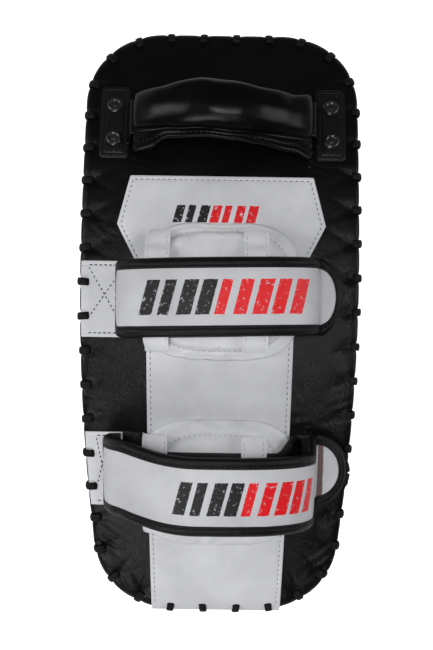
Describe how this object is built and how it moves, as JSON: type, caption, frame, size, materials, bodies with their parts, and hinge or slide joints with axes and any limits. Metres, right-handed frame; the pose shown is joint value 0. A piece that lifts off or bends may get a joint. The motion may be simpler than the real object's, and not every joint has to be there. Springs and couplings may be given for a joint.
{
  "type": "thai kick pad",
  "caption": "Curved leather kick pad with laced edge, riveted grip handle and two padded forearm straps that close with hook-and-loop tails",
  "frame": {"origin": "middle of the bounding box's footprint, on the surface the pad lies on", "axes": "+Y along the pad towards the handle end, +Z out of the back face where the straps are, +X to the side where the strap tails close"},
  "size_m": [0.1866, 0.4052, 0.1641],
  "materials": {
    "black_leather": "grained, satin",
    "black_smooth_leather": "smooth, glossy",
    "white_leather": "fine grain, semi-gloss",
    "black_binding": "matt",
    "black_lace": "satin",
    "hook_and_loop": "napped",
    "webbing": "woven",
    "foam": "open cell foam",
    "dense_foam": "closed cell foam",
    "fibre_board": "raw",
    "black_metal": "black lacquer"
  },
  "bodies": {
    "pad": {"back_cover": "black_leather", "backing_board": "fibre_board", "centre_panel": "white_leather", "edge_lacing": "black_lace", "foam_back": "foam", "foam_front": "foam", "foam_middle": "dense_foam", "handle_rivet_left_inner": "black_metal", "handle_rivet_left_outer": "black_metal", "handle_rivet_right_inner": "black_metal", "handle_rivet_right_outer": "black_metal", "handle_root_left": "black_smooth_leather", "handle_root_right": "black_smooth_leather", "handle_tab_left": "black_leather", "handle_tab_right": "black_leather", "handle_washer_left_inner": "black_metal", "handle_washer_left_outer": "black_metal", "handle_washer_right_inner": "black_metal", "handle_washer_right_outer": "black_metal", "lower_anchor_rivet": "black_metal", "lower_anchor_tab": "white_leather", "lower_anchor_washer": "black_metal", "lower_cushion_cover": "white_leather", "lower_cushion_foam": "foam", "lower_keeper_left": "white_leather", "lower_keeper_right": "white_leather", "lower_loop_patch": "hook_and_loop", "lower_strap_fold": "black_binding", "lower_strap_root": "black_binding", "strike_cover": "black_leather", "upper_anchor_rivet": "black_metal", "upper_anchor_tab": "white_leather", "upper_anchor_washer": "black_metal", "upper_cushion_cover": "white_leather", "upper_cushion_foam": "foam", "upper_keeper_left": "white_leather", "upper_keeper_right": "white_leather", "upper_loop_patch": "hook_and_loop", "upper_strap_fold": "black_binding", "upper_strap_root": "black_binding"},
    "handle": {"handle_sleeve": "black_smooth_leather", "handle_core_top": "foam", "handle_core_bottom": "foam", "handle_inner_strap": "webbing"},
    "upper_arm": {"upper_arm_binding_bottom": "black_binding", "upper_arm_binding_top": "black_binding", "upper_arm_face": "white_leather", "upper_arm_lining": "hook_and_loop"},
    "upper_tail": {"upper_tail_binding": "black_binding", "upper_tail_face": "white_leather", "upper_tail_hook": "hook_and_loop"},
    "lower_arm": {"lower_arm_binding_bottom": "black_binding", "lower_arm_binding_top": "black_binding", "lower_arm_face": "white_leather", "lower_arm_lining": "hook_and_loop"},
    "lower_tail": {"lower_tail_binding": "black_binding", "lower_tail_face": "white_leather", "lower_tail_hook": "hook_and_loop"}
  },
  "joints": [
    {"name": "handle_tilt", "type": "hinge", "parent": "pad", "child": "handle", "pos_m": [0, 0.1325, 0.09688], "axis": [1, 0, 0], "range_deg": [-25, 25]},
    {"name": "upper_strap_open", "type": "hinge", "parent": "pad", "child": "upper_arm", "pos_m": [-0.068, 0.0145, 0.11707], "axis": [0, -0.9996, 0.0279], "range_deg": [0, 90]},
    {"name": "upper_tail_peel", "type": "hinge", "parent": "upper_arm", "child": "upper_tail", "pos_m": [0.0651, 0.0175, 0.11772], "axis": [0, -0.9994, 0.0336], "range_deg": [0, 60]},
    {"name": "lower_strap_open", "type": "hinge", "parent": "pad", "child": "lower_arm", "pos_m": [-0.0745, -0.0985, 0.108], "axis": [0, -0.9825, -0.1861], "range_deg": [0, 90]},
    {"name": "lower_tail_peel", "type": "hinge", "parent": "lower_arm", "child": "lower_tail", "pos_m": [0.0641, -0.0985, 0.1087], "axis": [0, -0.9825, -0.1861], "range_deg": [0, 60]}
  ]
}
